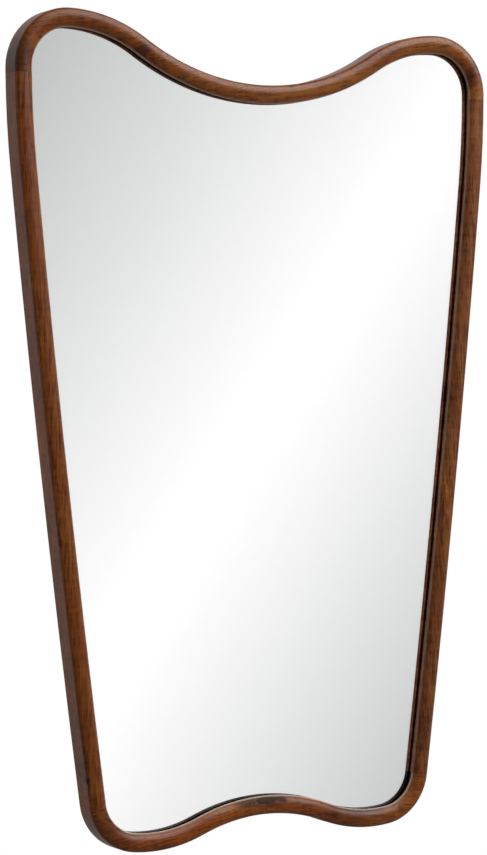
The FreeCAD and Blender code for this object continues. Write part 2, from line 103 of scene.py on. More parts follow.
def noiseNode(tree, vector, scale, detail=3.0, roughness=0.5):
    node = tree.nodes.new("ShaderNodeTexNoise")
    plug(tree, node.inputs["Vector"], vector)
    plug(tree, node.inputs["Scale"], scale)
    plug(tree, node.inputs["Detail"], detail)
    plug(tree, node.inputs["Roughness"], roughness)
    return node.outputs["Fac"]


def stretchedNoise(tree, place, scales, detail=3.0, roughness=0.5):
    return noiseNode(tree, vectorNode(tree, "MULTIPLY", place, scales), 1.0, detail, roughness)


def rangeNode(tree, value, low, high, toLow=0.0, toHigh=1.0, smooth=True):
    node = tree.nodes.new("ShaderNodeMapRange")
    node.interpolation_type = "SMOOTHSTEP" if smooth else "LINEAR"
    plug(tree, node.inputs["Value"], value)
    for name, number in (("From Min", low), ("From Max", high), ("To Min", toLow), ("To Max", toHigh)):
        plug(tree, node.inputs[name], number)
    return node.outputs["Result"]


def mixColour(tree, share, first, second, blend="MIX"):
    node = tree.nodes.new("ShaderNodeMix")
    node.data_type = "RGBA"
    node.blend_type = blend
    plug(tree, node.inputs["Factor"], share)
    # this node's sockets 6 and 7 are its pair of colours
    plug(tree, node.inputs[6], first)
    plug(tree, node.inputs[7], second)
    return node.outputs[2]


def tinted(tree, share, colour, tint):
    # the colour, multiplied by the tint where share is 1
    return mixColour(tree, share, colour, mixColour(tree, 1.0, colour, tint, "MULTIPLY"))


def newGroup(name, inputs, outputs):
    group = bpy.data.node_groups.new(name, "ShaderNodeTree")
    for label, kind, value in inputs:
        socket = group.interface.new_socket(label, in_out="INPUT", socket_type=kind)
        if value is not None:
            socket.default_value = value
    for label, kind in outputs:
        group.interface.new_socket(label, in_out="OUTPUT", socket_type=kind)
    entry = group.nodes.new("NodeGroupInput")
    leave = group.nodes.new("NodeGroupOutput")
    return group, entry.outputs, leave.inputs


def placeGroup(tree, group, **values):
    node = tree.nodes.new("ShaderNodeGroup")
    node.node_tree = group
    for name, value in values.items():
        plug(tree, node.inputs[name], value)
    return node.outputs


def objectPlace(tree):
    return tree.nodes.new("ShaderNodeTexCoord").outputs["Object"]


def bumpNode(tree, height, strength, distance):
    node = tree.nodes.new("ShaderNodeBump")
    plug(tree, node.inputs["Strength"], strength)
    plug(tree, node.inputs["Distance"], distance)
    plug(tree, node.inputs["Height"], height)
    return node.outputs["Normal"]


# Effects that several materials share

# the noises of the grain: scale along and across the board, detail and roughness
woodNoises = {
    "wander": ((4.0, 16.0, 16.0), 3.0, 0.5),
    "cloud": ((11.0, 42.0, 42.0), 3.0, 0.55),
    "warmth": ((8.0, 60.0, 60.0), 2.0, 0.5),
    "streak": ((6.0, 230.0, 230.0), 4.0, 0.6),
    "fibre": ((36.0, 600.0, 600.0), 3.0, 0.7),
    "shimmer": ((210.0, 45.0, 45.0), 2.0, 0.5),
    "pore": ((130.0, 1500.0, 1500.0), 1.0, 0.5),
}
woodFigure = {
    "ringStretch": (0.03, 1.0, 1.0),    # the rings hardly change along the board
    "ringDrift": 0.035,
    "lateWood": (0.30, 0.95),           # each ring darkens over this part of its width
    "warmthShift": (7.3, 2.1, 5.7),     # keeps the warmth from following the clouds
    "warmthEdge": (0.35, 0.65),
    "poreEdge": (0.56, 0.68),
    "poreTint": (0.42, 0.36, 0.33, 1),
    "ringShare": 0.18,
    "shares": {"cloud": 1.0, "streak": 2.0, "fibre": 5.6, "shimmer": 1.5},
    "middleTone": 0.30,                 # every layer swings around this tone
    "fibreHeight": 0.35,
    "poreDepth": 0.8,
    "toneShine": -0.06,
    "poreShine": 0.2,
}
figureTear = {"scales": (90.0, 400.0, 500.0), "detail": 3.0, "roughness": 0.6, "outside": 1.1}
lineEdge = (0.4, 1.0)                   # the glue line fades over this part of its width
wearLevels = {"crest": (0.52, 0.62), "broken": (0.35, 0.65), "smudge": (0.4, 0.75)}


def buildWoodGrain():
    # Place is measured in metres with X along the board's grain
    group, given, result = newGroup("woodGrain", [
        ("Place", "NodeSocketVector", None),
        ("Light", "NodeSocketColor", (0.2, 0.09, 0.04, 1)),
        ("Red", "NodeSocketColor", (0.2, 0.06, 0.02, 1)),
        ("Dark", "NodeSocketColor", (0.08, 0.03, 0.015, 1)),
        ("Ring Width", "NodeSocketFloat", 0.006),
        ("Contrast", "NodeSocketFloat", 0.9),
        ("Pores", "NodeSocketFloat", 0.5),
    ], [("Color", "NodeSocketColor"), ("Height", "NodeSocketFloat"), ("Roughness", "NodeSocketFloat")])
    place = given["Place"]
    noises = {}
    for layer, (scales, detail, roughness) in woodNoises.items():
        moved = vectorNode(group, "MULTIPLY", place, scales)
        if layer == "warmth":
            moved = vectorNode(group, "ADD", moved, woodFigure["warmthShift"])
        noises[layer] = noiseNode(group, moved, 1.0, detail, roughness)
    # the year rings wander slowly along the board
    stretched = vectorNode(group, "MULTIPLY", place, woodFigure["ringStretch"])
    radius = vectorNode(group, "LENGTH", stretched)
    drift = times(group, minus(group, noises["wander"], 0.5), woodFigure["ringDrift"])
    rings = mathNode(group, "DIVIDE", plus(group, radius, drift), given["Ring Width"])
    wave = mathNode(group, "FRACT", rings)
    lateStart, lateEnd = woodFigure["lateWood"]
    late = rangeNode(group, wave, lateStart, lateEnd)
    tone = times(group, late, rangeNode(group, wave, lateEnd, 1.0, 1.0, 0.0))
    tone = times(group, tone, woodFigure["ringShare"])
    # broad clouds, streaks a few millimetres wide, fine fibres and the shimmer across them
    for layer, share in woodFigure["shares"].items():
        tone = plus(group, tone, times(group, minus(group, noises[layer], 0.5), share))
    tone = plus(group, tone, woodFigure["middleTone"])
    tone = mathNode(group, "MULTIPLY", tone, given["Contrast"], clamp=True)
    warm = rangeNode(group, noises["warmth"], *woodFigure["warmthEdge"])
    colour = mixColour(group, warm, given["Light"], given["Red"])
    colour = mixColour(group, tone, colour, given["Dark"])
    # short dark pores
    poreMask = times(group, rangeNode(group, noises["pore"], *woodFigure["poreEdge"]), given["Pores"])
    plug(group, result["Color"], tinted(group, poreMask, colour, woodFigure["poreTint"]))
    raised = times(group, noises["fibre"], woodFigure["fibreHeight"])
    plug(group, result["Height"], minus(group, raised, times(group, poreMask, woodFigure["poreDepth"])))
    shine = times(group, tone, woodFigure["toneShine"])
    shine = plus(group, shine, times(group, poreMask, woodFigure["poreShine"]))
    plug(group, result["Roughness"], shine)
    return group


def buildFigureAndPaintedLightMark():
    # an oval mark with a ragged edge: wood figure such as a knot or a pale streak, and on this frame
    # also painted shade, light and reflection
    group, given, result = newGroup("figureAndPaintedLightMark", [
        ("Place", "NodeSocketVector", None),
        ("Centre", "NodeSocketVector", (0.0, 0.0, 0.0)),
        ("Half Size", "NodeSocketVector", (0.01, 0.02, 0.003)),
        ("Turn", "NodeSocketFloat", 0.0),
        ("Ragged", "NodeSocketFloat", 0.5),
        ("Soft", "NodeSocketFloat", 0.7),
    ], [("Mask", "NodeSocketFloat")])
    turn = group.nodes.new("ShaderNodeVectorRotate")
    turn.rotation_type = "Y_AXIS"
    plug(group, turn.inputs["Vector"], vectorNode(group, "SUBTRACT", given["Place"], given["Centre"]))
    plug(group, turn.inputs["Angle"], given["Turn"])
    shrunk = vectorNode(group, "DIVIDE", turn.outputs[0], given["Half Size"])
    reach = vectorNode(group, "LENGTH", shrunk)
    torn = stretchedNoise(group, turn.outputs[0], figureTear["scales"], figureTear["detail"],
                          figureTear["roughness"])
    reach = plus(group, reach, times(group, minus(group, torn, 0.5), given["Ragged"]))
    inside = minus(group, 1.0, given["Soft"])
    mask = rangeNode(group, reach, inside, figureTear["outside"], 1.0, 0.0)
    plug(group, result["Mask"], mask)
    return group


def buildGlueLine():
    # a thin dark line where two lengths of the frame meet
    group, given, result = newGroup("glueLine", [
        ("Place", "NodeSocketVector", None),
        ("Joint", "NodeSocketVector", (0.0, 0.0, 0.0)),
        ("Along", "NodeSocketVector", (1.0, 0.0, 0.0)),
        ("Width", "NodeSocketFloat", 0.0005),
        ("Reach", "NodeSocketFloat", 0.04),
    ], [("Mask", "NodeSocketFloat")])
    away = vectorNode(group, "SUBTRACT", given["Place"], given["Joint"])
    across = mathNode(group, "ABSOLUTE", vectorNode(group, "DOT_PRODUCT", away, given["Along"]))
    near = mathNode(group, "LESS_THAN", vectorNode(group, "LENGTH", away), given["Reach"])
    line = rangeNode(group, mathNode(group, "DIVIDE", across, given["Width"]), *lineEdge, 1.0, 0.0)
    plug(group, result["Mask"], times(group, line, near))
    return group


def buildHandling():
    # wear on the crests, with soft smudges in between
    group, given, result = newGroup("handling", [
        ("Place", "NodeSocketVector", None),
        ("Smudge Size", "NodeSocketFloat", 0.03),
    ], [("Crest", "NodeSocketFloat"), ("Smudge", "NodeSocketFloat")])
    point = group.nodes.new("ShaderNodeNewGeometry").outputs["Pointiness"]
    perSize = mathNode(group, "DIVIDE", 1.0, given["Smudge Size"])
    scaled = vectorNode(group, "SCALE", given["Place"], scale=perSize)
    broken = rangeNode(group, noiseNode(group, scaled, 2.2, 4.0, 0.6), *wearLevels["broken"])
    crest = rangeNode(group, point, *wearLevels["crest"])
    plug(group, result["Crest"], times(group, crest, broken))
    smudge = rangeNode(group, noiseNode(group, scaled, 0.7, 3.0, 0.55), *wearLevels["smudge"])
    plug(group, result["Smudge"], smudge)
    return group


woodGrain = buildWoodGrain()
figureAndPaintedLightMark = buildFigureAndPaintedLightMark()
glueLine = buildGlueLine()
handling = buildHandling()
print("shared effects ready")


# Frame members: solid walnut, each cut from its own board

walnut = {
    "light": (0.350, 0.116, 0.022, 1),
    "red": (0.300, 0.078, 0.015, 1),
    "dark": (0.115, 0.032, 0.009, 1),
    "arrisHighlight": (0.70, 0.55, 0.45, 1),     # a painted highlight along the lip's edge
    "arrisFacing": (-0.76, -0.66),      # the lip's edge begins where a face turns this far sideways
    "inward": (0.0, -0.05),             # a face's look to the middle, from none to full
    "rebateLevel": -0.0262,             # where the rebate begins, along Y
    "rebateFade": 0.0005,
    "rebateRough": 0.45,
    "roughness": 0.33,
    "smudgeRough": 0.08,
    "specular": 0.36,
    "coat": 0.03,
    "coatRoughness": 0.22,
    "ringWidth": 0.0065,
    "pores": 0.55,
    "bump": 0.35,
    "bumpHeight": 0.0002,
    "glueLine": (0.012, 0.005, 0.003, 1),
    "glueLineWidth": 0.0006,
    "glueLineShare": 0.45,
    "markDepth": (-0.022, 0.03),
    "markSoft": 0.7,
}

# a mark has its middle as X and Z, its half length and width, its turn in degrees and its tint;
# depth is a mark's middle and half size along Y, and rough is what it adds to the roughness;
# the marks on the bottom paint a reflection: the dark patch, a pale streak, the patch's core, tail and
# end, and its hatching
bottomReflectionMarks = [
    {"at": (-0.0060, -0.4150), "half": (0.0480, 0.0092), "turn": 0,
     "tint": (0.42, 0.34, 0.36), "share": 0.9, "rough": 0.15},
    {"at": (-0.0510, -0.4195), "half": (0.0200, 0.0050), "turn": 8,
     "tint": (1.40, 1.60, 1.60), "share": 0.85},
    {"at": (0.0010, -0.4134), "half": (0.0150, 0.0042), "turn": 1,
     "tint": (0.30, 0.66, 2.60), "share": 0.97, "rough": 0.3, "soft": 0.12},
    {"at": (-0.0270, -0.4146), "half": (0.0180, 0.0050), "turn": 3,
     "tint": (0.55, 0.68, 1.00), "share": 0.8, "rough": 0.2, "soft": 0.4},
    {"at": (0.0210, -0.4140), "half": (0.0085, 0.0036), "turn": -14,
     "tint": (0.28, 0.22, 0.28), "share": 0.9, "rough": 0.25, "soft": 0.4},
] + [
    {"at": (-0.0160 - 0.0052 * step, -0.4142 - 0.0005 * step), "half": (0.0012, 0.0042), "turn": -14,
     "tint": (0.30, 0.28, 0.34), "share": 0.9, "soft": 0.6}
    for step in range(4)
]

# tilt is the board's grain direction from level in degrees; shift moves the board under the part;
# the arris share is how much painted highlight lies along the lip's edge, rebate tints the rebate's
# faces with painted light and shade, and ends names the tenons in the member's two ends
members = {
    "top_left_rail": {
        "tilt": 8, "shift": (0.31, 0.021, 0.17), "tone": (0.94, 0.78, 0.24), "contrast": 0.8,
        "arrisHighlight": 0.7, "rebate": (1.3, 1.7, 3.0), "ends": ("tenon_top", "tenon_upper_left"),
        "marks": [
            {"at": (-0.2705, 0.4225), "half": (0.0120, 0.0016), "turn": -8,
             "tint": (0.22, 0.20, 0.22), "share": 0.85},
            {"at": (-0.1520, 0.4165), "half": (0.0150, 0.0085), "turn": 28,
             "tint": (0.38, 0.30, 0.36), "share": 0.85, "soft": 0.45},
            # painted shade: a dark band along the lower inner part of the ear
            {"at": (-0.1870, 0.4230), "half": (0.0340, 0.0065), "turn": 26,
             "tint": (0.50, 0.52, 0.50), "share": 0.8},
            {"at": (-0.3010, 0.3990), "half": (0.0360, 0.0190), "turn": 78,
             "tint": (0.36, 0.37, 0.52), "share": 0.95},
        ],
    },
    "top_right_rail": {
        "tilt": 12, "shift": (1.27, 0.034, -0.36), "tone": (1.09, 1.03, 0.65), "contrast": 0.8,
        "arrisHighlight": 0.75, "rebate": (1.3, 1.7, 3.0), "ends": ("tenon_top", "tenon_upper_right"),
        "marks": [
            {"at": (-0.1045, 0.3900), "half": (0.0130, 0.0050), "turn": 22,
             "tint": (0.50, 0.55, 0.50), "share": 0.7},
            {"at": (0.2830, 0.4090), "half": (0.0480, 0.0100), "turn": 66,
             "tint": (0.40, 0.35, 0.50), "share": 0.9},
        ],
    },
    "left_stile": {
        "tilt": 91, "shift": (2.12, 0.012, 0.15), "tone": (0.90, 0.76, 0.48), "contrast": 0.85,
        "arrisHighlight": 0.6, "rebate": (1.0, 1.2, 1.8), "ends": ("tenon_upper_left", "tenon_lower_left"),
        "marks": [
            {"at": (-0.2245, -0.3720), "half": (0.0048, 0.0034), "turn": -96,
             "tint": (0.12, 0.11, 0.12), "share": 0.95, "depth": (-0.0285, 0.0055)},
            {"at": (-0.2265, -0.3600), "half": (0.0180, 0.0050), "turn": -96,
             "tint": (0.50, 0.45, 0.45), "share": 0.7},
            # painted light: the outer side is warmed along the whole stile, lighter in red and darker
            # in blue
            {"at": (-0.2670, -0.0080), "half": (0.5500, 0.0120), "turn": -96,
             "tint": (1.45, 1.30, 0.35), "share": 0.9, "depth": (-0.0100, 0.0190)},
        ],
    },
    "right_stile": {
        "tilt": 92.5, "shift": (3.41, -0.03, 0.14), "tone": (0.91, 0.93, 1.12), "contrast": 0.95,
        "arrisHighlight": 0.5, "rebate": (3.0, 3.3, 5.5), "ends": ("tenon_upper_right", "tenon_lower_right"),
        "marks": [
            {"at": (0.2482, -0.0850), "half": (0.0520, 0.0042), "turn": -85,
             "tint": (1.9, 1.75, 1.5), "share": 0.95},
            {"at": (0.2580, 0.0300), "half": (0.0240, 0.0045), "turn": -82,
             "tint": (0.65, 0.40, 0.45), "share": 0.8},
            {"at": (0.2895, 0.3560), "half": (0.0130, 0.0380), "turn": 0,
             "tint": (1.30, 1.45, 1.50), "share": 0.85},
        ],
    },
    "bottom_left_rail": {
        "tilt": 8, "shift": (4.6, 0.04, 0.46), "tone": (1.26, 1.04, 0.36), "contrast": 0.85,
        "arrisHighlight": 0.95, "rebate": (0.14, 0.16, 0.2), "ends": ("tenon_bottom", "tenon_lower_left"),
        "marks": bottomReflectionMarks + [
            {"at": (-0.2000, -0.4250), "half": (0.0560, 0.0420), "turn": 0,
             "tint": (0.36, 0.37, 0.62), "share": 0.95, "soft": 0.9},
        ],
    },
    "bottom_right_rail": {
        "tilt": -6, "shift": (5.3, 0.01, 0.44), "tone": (1.13, 0.98, 0.60), "contrast": 0.8,
        "arrisHighlight": 0.9, "rebate": (0.14, 0.16, 0.2), "ends": ("tenon_bottom", "tenon_lower_right"),
        "marks": bottomReflectionMarks + [
            {"at": (0.1200, -0.4370), "half": (0.0620, 0.0300), "turn": 0,
             "tint": (0.33, 0.30, 0.50), "share": 0.95, "soft": 0.9},
        ],
    },
}


def boardPlace(tree, place, tilt, shift):
    # turns the member's coordinates so that X runs along its board
    turn = tree.nodes.new("ShaderNodeVectorRotate")
    turn.rotation_type = "Y_AXIS"
    plug(tree, turn.inputs["Vector"], place)
    plug(tree, turn.inputs["Angle"], math.radians(tilt))
    return vectorNode(tree, "ADD", turn.outputs[0], shift)


def jointAt(tenonName):
    # a joint lies at its tenon's middle and faces along the tenon, as seen from the front
    spots = [vertex.co for vertex in nodes[tenonName].data.vertices]
    middle = sum(spots, Vector()) / len(spots)
    spreadX = sum((spot.x - middle.x) ** 2 for spot in spots)
    spreadZ = sum((spot.z - middle.z) ** 2 for spot in spots)
    shared = sum((spot.x - middle.x) * (spot.z - middle.z) for spot in spots)
    lean = math.atan2(2 * shared, spreadX - spreadZ) / 2
    return middle, (math.cos(lean), 0.0, math.sin(lean))


def markWoodAndPaintedLight(tree, place, marks, colour, rough):
    for mark in marks:
        (x, z), (along, across) = mark["at"], mark["half"]
        middle, deep = mark.get("depth", walnut["markDepth"])
        spot = placeGroup(tree, figureAndPaintedLightMark, Place=place, Centre=(x, middle, z),
                          Turn=math.radians(mark["turn"]), Soft=mark.get("soft", walnut["markSoft"]),
                          **{"Half Size": (along, deep, across)})
        colour = tinted(tree, times(tree, spot["Mask"], mark["share"]), colour, mark["tint"] + (1,))
        rough = plus(tree, rough, times(tree, spot["Mask"], mark.get("rough", 0.0)))
    return colour, rough


def lipMasks(tree, place):
    # the lip's edge, which turns away from the front and looks to the middle, carries a painted
    # highlight, and the rebate behind it painted light and shade
    split = tree.nodes.new("ShaderNodeSeparateXYZ")
    plug(tree, split.inputs[0], place)
    normal = tree.nodes.new("ShaderNodeNewGeometry").outputs["Normal"]
    turned = tree.nodes.new("ShaderNodeSeparateXYZ")
    plug(tree, turned.inputs[0], normal)
    facing = vectorNode(tree, "DOT_PRODUCT", normal, place)
    inward = rangeNode(tree, facing, *walnut["inward"])
    level = walnut["rebateLevel"]
    behind = rangeNode(tree, split.outputs["Y"], level, level + walnut["rebateFade"])
    edge = times(tree, rangeNode(tree, turned.outputs["Y"], *walnut["arrisFacing"]),
                 minus(tree, 1.0, behind))
    return times(tree, edge, inward), times(tree, inward, behind)


def walnutMaterial(name, spec):
    material, tree, shader = newMaterial("walnut_" + name)
    place = objectPlace(tree)
    shades = {
        label: tuple(tone * part for tone, part in zip(spec["tone"], walnut[label.lower()])) + (1,)
        for label in ("Light", "Red", "Dark")
    }
    grain = placeGroup(tree, woodGrain, Place=boardPlace(tree, place, spec["tilt"], spec["shift"]),
                       Pores=walnut["pores"], Contrast=spec["contrast"], **shades,
                       **{"Ring Width": walnut["ringWidth"]})
    colour, rough = markWoodAndPaintedLight(tree, place, spec["marks"], grain["Color"], grain["Roughness"])
    for end in spec["ends"]:
        joint, along = jointAt(end)
        line = placeGroup(tree, glueLine, Place=place, Joint=joint, Along=along,
                          Width=walnut["glueLineWidth"])
        glued = times(tree, line["Mask"], walnut["glueLineShare"])
        colour = mixColour(tree, glued, colour, walnut["glueLine"])
    edge, rebate = lipMasks(tree, place)
    # a painted highlight along the lip's edge
    colour = mixColour(tree, times(tree, edge, spec["arrisHighlight"]), colour, walnut["arrisHighlight"])
    # painted shade darkens the rebate's faces on the bottom rails, and painted light brightens them on
    # the stiles and top rails
    colour = tinted(tree, rebate, colour, spec["rebate"] + (1,))
    plug(tree, shader.inputs["Base Color"], colour)
    smudge = placeGroup(tree, handling, Place=place)["Smudge"]
    rough = plus(tree, rough, times(tree, smudge, walnut["smudgeRough"]))
    rough = plus(tree, rough, times(tree, rebate, walnut["rebateRough"]))
    plug(tree, shader.inputs["Roughness"], plus(tree, rough, walnut["roughness"]))
    bump = bumpNode(tree, grain["Height"], walnut["bump"], walnut["bumpHeight"])
    plug(tree, shader.inputs["Normal"], bump)
    shader.inputs["Specular IOR Level"].default_value = walnut["specular"]
    shader.inputs["Coat Weight"].default_value = walnut["coat"]
    shader.inputs["Coat Roughness"].default_value = walnut["coatRoughness"]
    return material


def dress(name, material):
    node = nodes[name]
    node.data.materials.clear()
    node.data.materials.append(material)


for name, spec in members.items():
    dress(name, walnutMaterial(name, spec))
print("frame members dressed in walnut")


# Loose tenons inside the joints

tenon = {
    "light": (0.52, 0.34, 0.19, 1),
    "red": (0.50, 0.30, 0.17, 1),
    "dark": (0.33, 0.19, 0.095, 1),
    "contrast": 0.6,
    "pores": 0.2,
    "roughness": 0.7,
    "bump": 0.4,
    "bumpHeight": 0.0002,
}


def tenonMaterial():
    material, tree, shader = newMaterial("rawBeech")
    place = objectPlace(tree)
    grain = placeGroup(tree, woodGrain, Place=place, Light=tenon["light"], Red=tenon["red"],
                       Dark=tenon["dark"], Contrast=tenon["contrast"], Pores=tenon["pores"])
    plug(tree, shader.inputs["Base Color"], grain["Color"])
    plug(tree, shader.inputs["Roughness"], plus(tree, grain["Roughness"], tenon["roughness"]))
    bump = bumpNode(tree, grain["Height"], tenon["bump"], tenon["bumpHeight"])
    plug(tree, shader.inputs["Normal"], bump)
    return material


beech = tenonMaterial()
for name in nodes:
    if name.startswith("tenon_"):
        dress(name, beech)


# Glass pane with its silver

pane = {
    "tint": (0.997, 0.998, 0.997, 1),
    "index": 1.52,
    "smudgeRough": 0.004,
    "silver": (0.975, 0.975, 0.975, 1),
    "tarnish": 0.985,           # what is left of the silver's brightness where it is dullest
    "silverClouds": 6.0,
    "silverRough": 0.004,
    "gapBehind": 0.00002,       # the silver lies this far behind the pane's back
    "silverThick": 0.00006,     # the silver with its paint, inside the CAD layer's 0.1 mm
    "levelWithin": 0.00001,
}


def glassMaterial():
    material, tree, shader = newMaterial("clearPane")
    smudge = placeGroup(tree, handling, Place=objectPlace(tree))["Smudge"]
    shader.inputs["Base Color"].default_value = pane["tint"]
    shader.inputs["Transmission Weight"].default_value = 1.0
    shader.inputs["IOR"].default_value = pane["index"]
    plug(tree, shader.inputs["Roughness"], times(tree, smudge, pane["smudgeRough"]))
    return material


def silverMaterial():
    material, tree, shader = newMaterial("silverLayer")
    cloud = noiseNode(tree, objectPlace(tree), pane["silverClouds"], 2.0)
    tarnish = tuple(pane["tarnish"] * part for part in pane["silver"][:3]) + (1,)
    plug(tree, shader.inputs["Base Color"], mixColour(tree, cloud, pane["silver"], tarnish))
    shader.inputs["Metallic"].default_value = 1.0
    plug(tree, shader.inputs["Roughness"], times(tree, cloud, pane["silverRough"]))
    return material


def silverSheet():
    # the pane's back face, laid a hair behind it so that the two never share a plane, and thickened
    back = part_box("mirror_glass")[1].y
    mesh = bpy.data.meshes.new("silverSheet")
    made = bmesh.new()
    made.from_mesh(nodes["mirror_glass"].data)
    rest = [
        face for face in made.faces
        if any(back - vert.co.y > pane["levelWithin"] for vert in face.verts)
    ]
    bmesh.ops.delete(made, geom=rest, context="FACES")
    bmesh.ops.translate(made, verts=made.verts, vec=(0.0, pane["gapBehind"], 0.0))
    copied = bmesh.ops.duplicate(made, geom=made.faces[:])["geom"]
    corners = [part for part in copied if isinstance(part, bmesh.types.BMVert)]
    bmesh.ops.translate(made, verts=corners, vec=(0.0, pane["silverThick"], 0.0))
    bmesh.ops.bridge_loops(made, edges=[edge for edge in made.edges if edge.is_boundary])
    bmesh.ops.recalc_face_normals(made, faces=made.faces)
    made.to_mesh(mesh)
    made.free()
    sheet = bpy.data.objects.new("silverSheet", mesh)
    scene.collection.objects.link(sheet)
    mesh.materials.append(silverMaterial())
    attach(sheet, "mirror")
    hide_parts("silver_coating")


dress("mirror_glass", glassMaterial())
silverSheet()
print("pane and silver ready")


# Backing board

board = {
    "light": (0.40, 0.27, 0.155, 1),
    "dark": (0.26, 0.168, 0.092, 1),
    "fleckScale": 900.0,
    "fleckEdge": (0.35, 0.65),
    "fleckShare": 0.45,
    "cloudScale": 22.0,
    "cloudShare": 0.3,
    "strandScales": (320.0, 320.0, 900.0),
    "strandEdge": (0.4, 0.7),
    "strandShare": 0.25,
    "roughness": 0.82,
    "bump": 0.3,
    "bumpHeight": 0.0002,
}


def boardMaterial():
    material, tree, shader = newMaterial("fibreboard")
    place = objectPlace(tree)
    flecks = noiseNode(tree, place, board["fleckScale"], 4.0, 0.7)
    clouds = noiseNode(tree, place, board["cloudScale"], 3.0, 0.55)
    strands = stretchedNoise(tree, place, board["strandScales"], 3.0, 0.6)
    tone = times(tree, rangeNode(tree, flecks, *board["fleckEdge"]), board["fleckShare"])
    tone = plus(tree, tone, times(tree, clouds, board["cloudShare"]))
    strands = times(tree, rangeNode(tree, strands, *board["strandEdge"]), board["strandShare"])
    tone = plus(tree, tone, strands, clamp=True)
    plug(tree, shader.inputs["Base Color"], mixColour(tree, tone, board["light"], board["dark"]))
    shader.inputs["Roughness"].default_value = board["roughness"]
    plug(tree, shader.inputs["Normal"], bumpNode(tree, flecks, board["bump"], board["bumpHeight"]))
    return material


dress("backing_board", boardMaterial())


# Zinc-plated clips, straps, rings and screws

zinc = {
    "pale": (0.62, 0.60, 0.55, 1),
    "blue": (0.50, 0.52, 0.54, 1),
    "spangleScale": 160.0,
    "spangleEdge": (0.35, 0.65),
    "worn": (0.78, 0.77, 0.75, 1),
    "wornShare": 0.5,
    "grime": (0.36, 0.34, 0.31, 1),
    "grimeShare": 0.25,
    "smudgeSize": 0.008,
    "roughness": 0.24,
    "brushedRough": 0.16,
    "smudgeRough": 0.12,
    "bump": 0.15,
    "bumpHeight": 0.0001,
}


def zincMaterial(name, grainWay):
    material, tree, shader = newMaterial(name)
    place = objectPlace(tree)
    spangle = noiseNode(tree, place, zinc["spangleScale"], 3.0, 0.6)
    spangle = rangeNode(tree, spangle, *zinc["spangleEdge"])
    brushed = stretchedNoise(tree, place, grainWay, 3.0, 0.6)
    wear = placeGroup(tree, handling, Place=place, **{"Smudge Size": zinc["smudgeSize"]})
    colour = mixColour(tree, spangle, zinc["pale"], zinc["blue"])
    colour = mixColour(tree, times(tree, wear["Crest"], zinc["wornShare"]), colour, zinc["worn"])
    colour = mixColour(tree, times(tree, wear["Smudge"], zinc["grimeShare"]), colour, zinc["grime"])
    plug(tree, shader.inputs["Base Color"], colour)
    shader.inputs["Metallic"].default_value = 1.0
    rough = plus(tree, times(tree, brushed, zinc["brushedRough"]), zinc["roughness"])
    rough = plus(tree, rough, times(tree, wear["Smudge"], zinc["smudgeRough"]))
    plug(tree, shader.inputs["Roughness"], rough)
    plug(tree, shader.inputs["Normal"], bumpNode(tree, brushed, zinc["bump"], zinc["bumpHeight"]))
    return material


stampedZinc = zincMaterial("stampedZinc", (900.0, 900.0, 120.0))
wireZinc = zincMaterial("wireZinc", (300.0, 300.0, 300.0))
for name in ("board_clips", "left_hanger_strap", "right_hanger_strap"):
    dress(name, stampedZinc)
for name in ("left_hanger_ring", "right_hanger_ring"):
    dress(name, wireZinc)


# Pan-head screws with a cross recess

screw = {
    "headRadius": 0.0028,
    "headHeight": 0.0016,
    "rimHeight": 0.0005,
    "shankRadius": 0.0015,
    "threadRoot": 0.00115,
    "pitch": 0.0012,
    "tipRadius": 0.0003,
    "tipLength": 0.0030,
    "length": 0.0100,
    "armReach": 0.0014,
    "armHalf": 0.00036,
    "recess": 0.0009,
    "taper": 0.62,              # the recess floor against its mouth
    "around": 40,
    "domeRings": (0.68, 0.84, 1.0),
    "weldWithin": 1e-7,
    "apart": 2.2,               # in head radii: what lies nearer is one screw
    "firstTurn": 0.4,
    "nextTurn": 1.9,            # each screw stops at a turn of its own
    "crease": 0.6,              # in radians: a sharper edge than this stays sharp
}


def screwPlaces(name):
    # the screws of one node stand well apart, so their points fall into clear clusters
    clusters = []
    for vertex in nodes[name].data.vertices:
        spot = vertex.co
        for cluster in clusters:
            away = math.hypot(spot.x - cluster[0].x, spot.z - cluster[0].z)
            if away < screw["apart"] * screw["headRadius"]:
                cluster.append(spot)
                break
        else:
            clusters.append([spot])
    places = []
    for cluster in clusters:
        across = [spot.x for spot in cluster]
        up = [spot.z for spot in cluster]
        back = max(spot.y for spot in cluster)
        places.append(Vector(((min(across) + max(across)) / 2, back, (min(up) + max(up)) / 2)))
    return places


def domeDrop(radius):
    # how far the head's dome has fallen at this distance from its middle
    dome = screw["headHeight"] - screw["rimHeight"]
    ball = (screw["headRadius"] ** 2 + dome ** 2) / (2 * dome)
    return ball - math.sqrt(ball ** 2 - radius ** 2)


def crossOutline():
    reach, half = screw["armReach"], screw["armHalf"]
    quarter = [(reach, -half), (reach, half), (half, half)]
    points = []
    for turn in range(4):
        cosine, sine = math.cos(turn * math.pi / 2), math.sin(turn * math.pi / 2)
        points += [(x * cosine - z * sine, x * sine + z * cosine) for x, z in quarter]
    return points


def inCross(x, z):
    reach, half = screw["armReach"], screw["armHalf"]
    return (abs(x) < half and abs(z) < reach) or (abs(z) < half and abs(x) < reach)


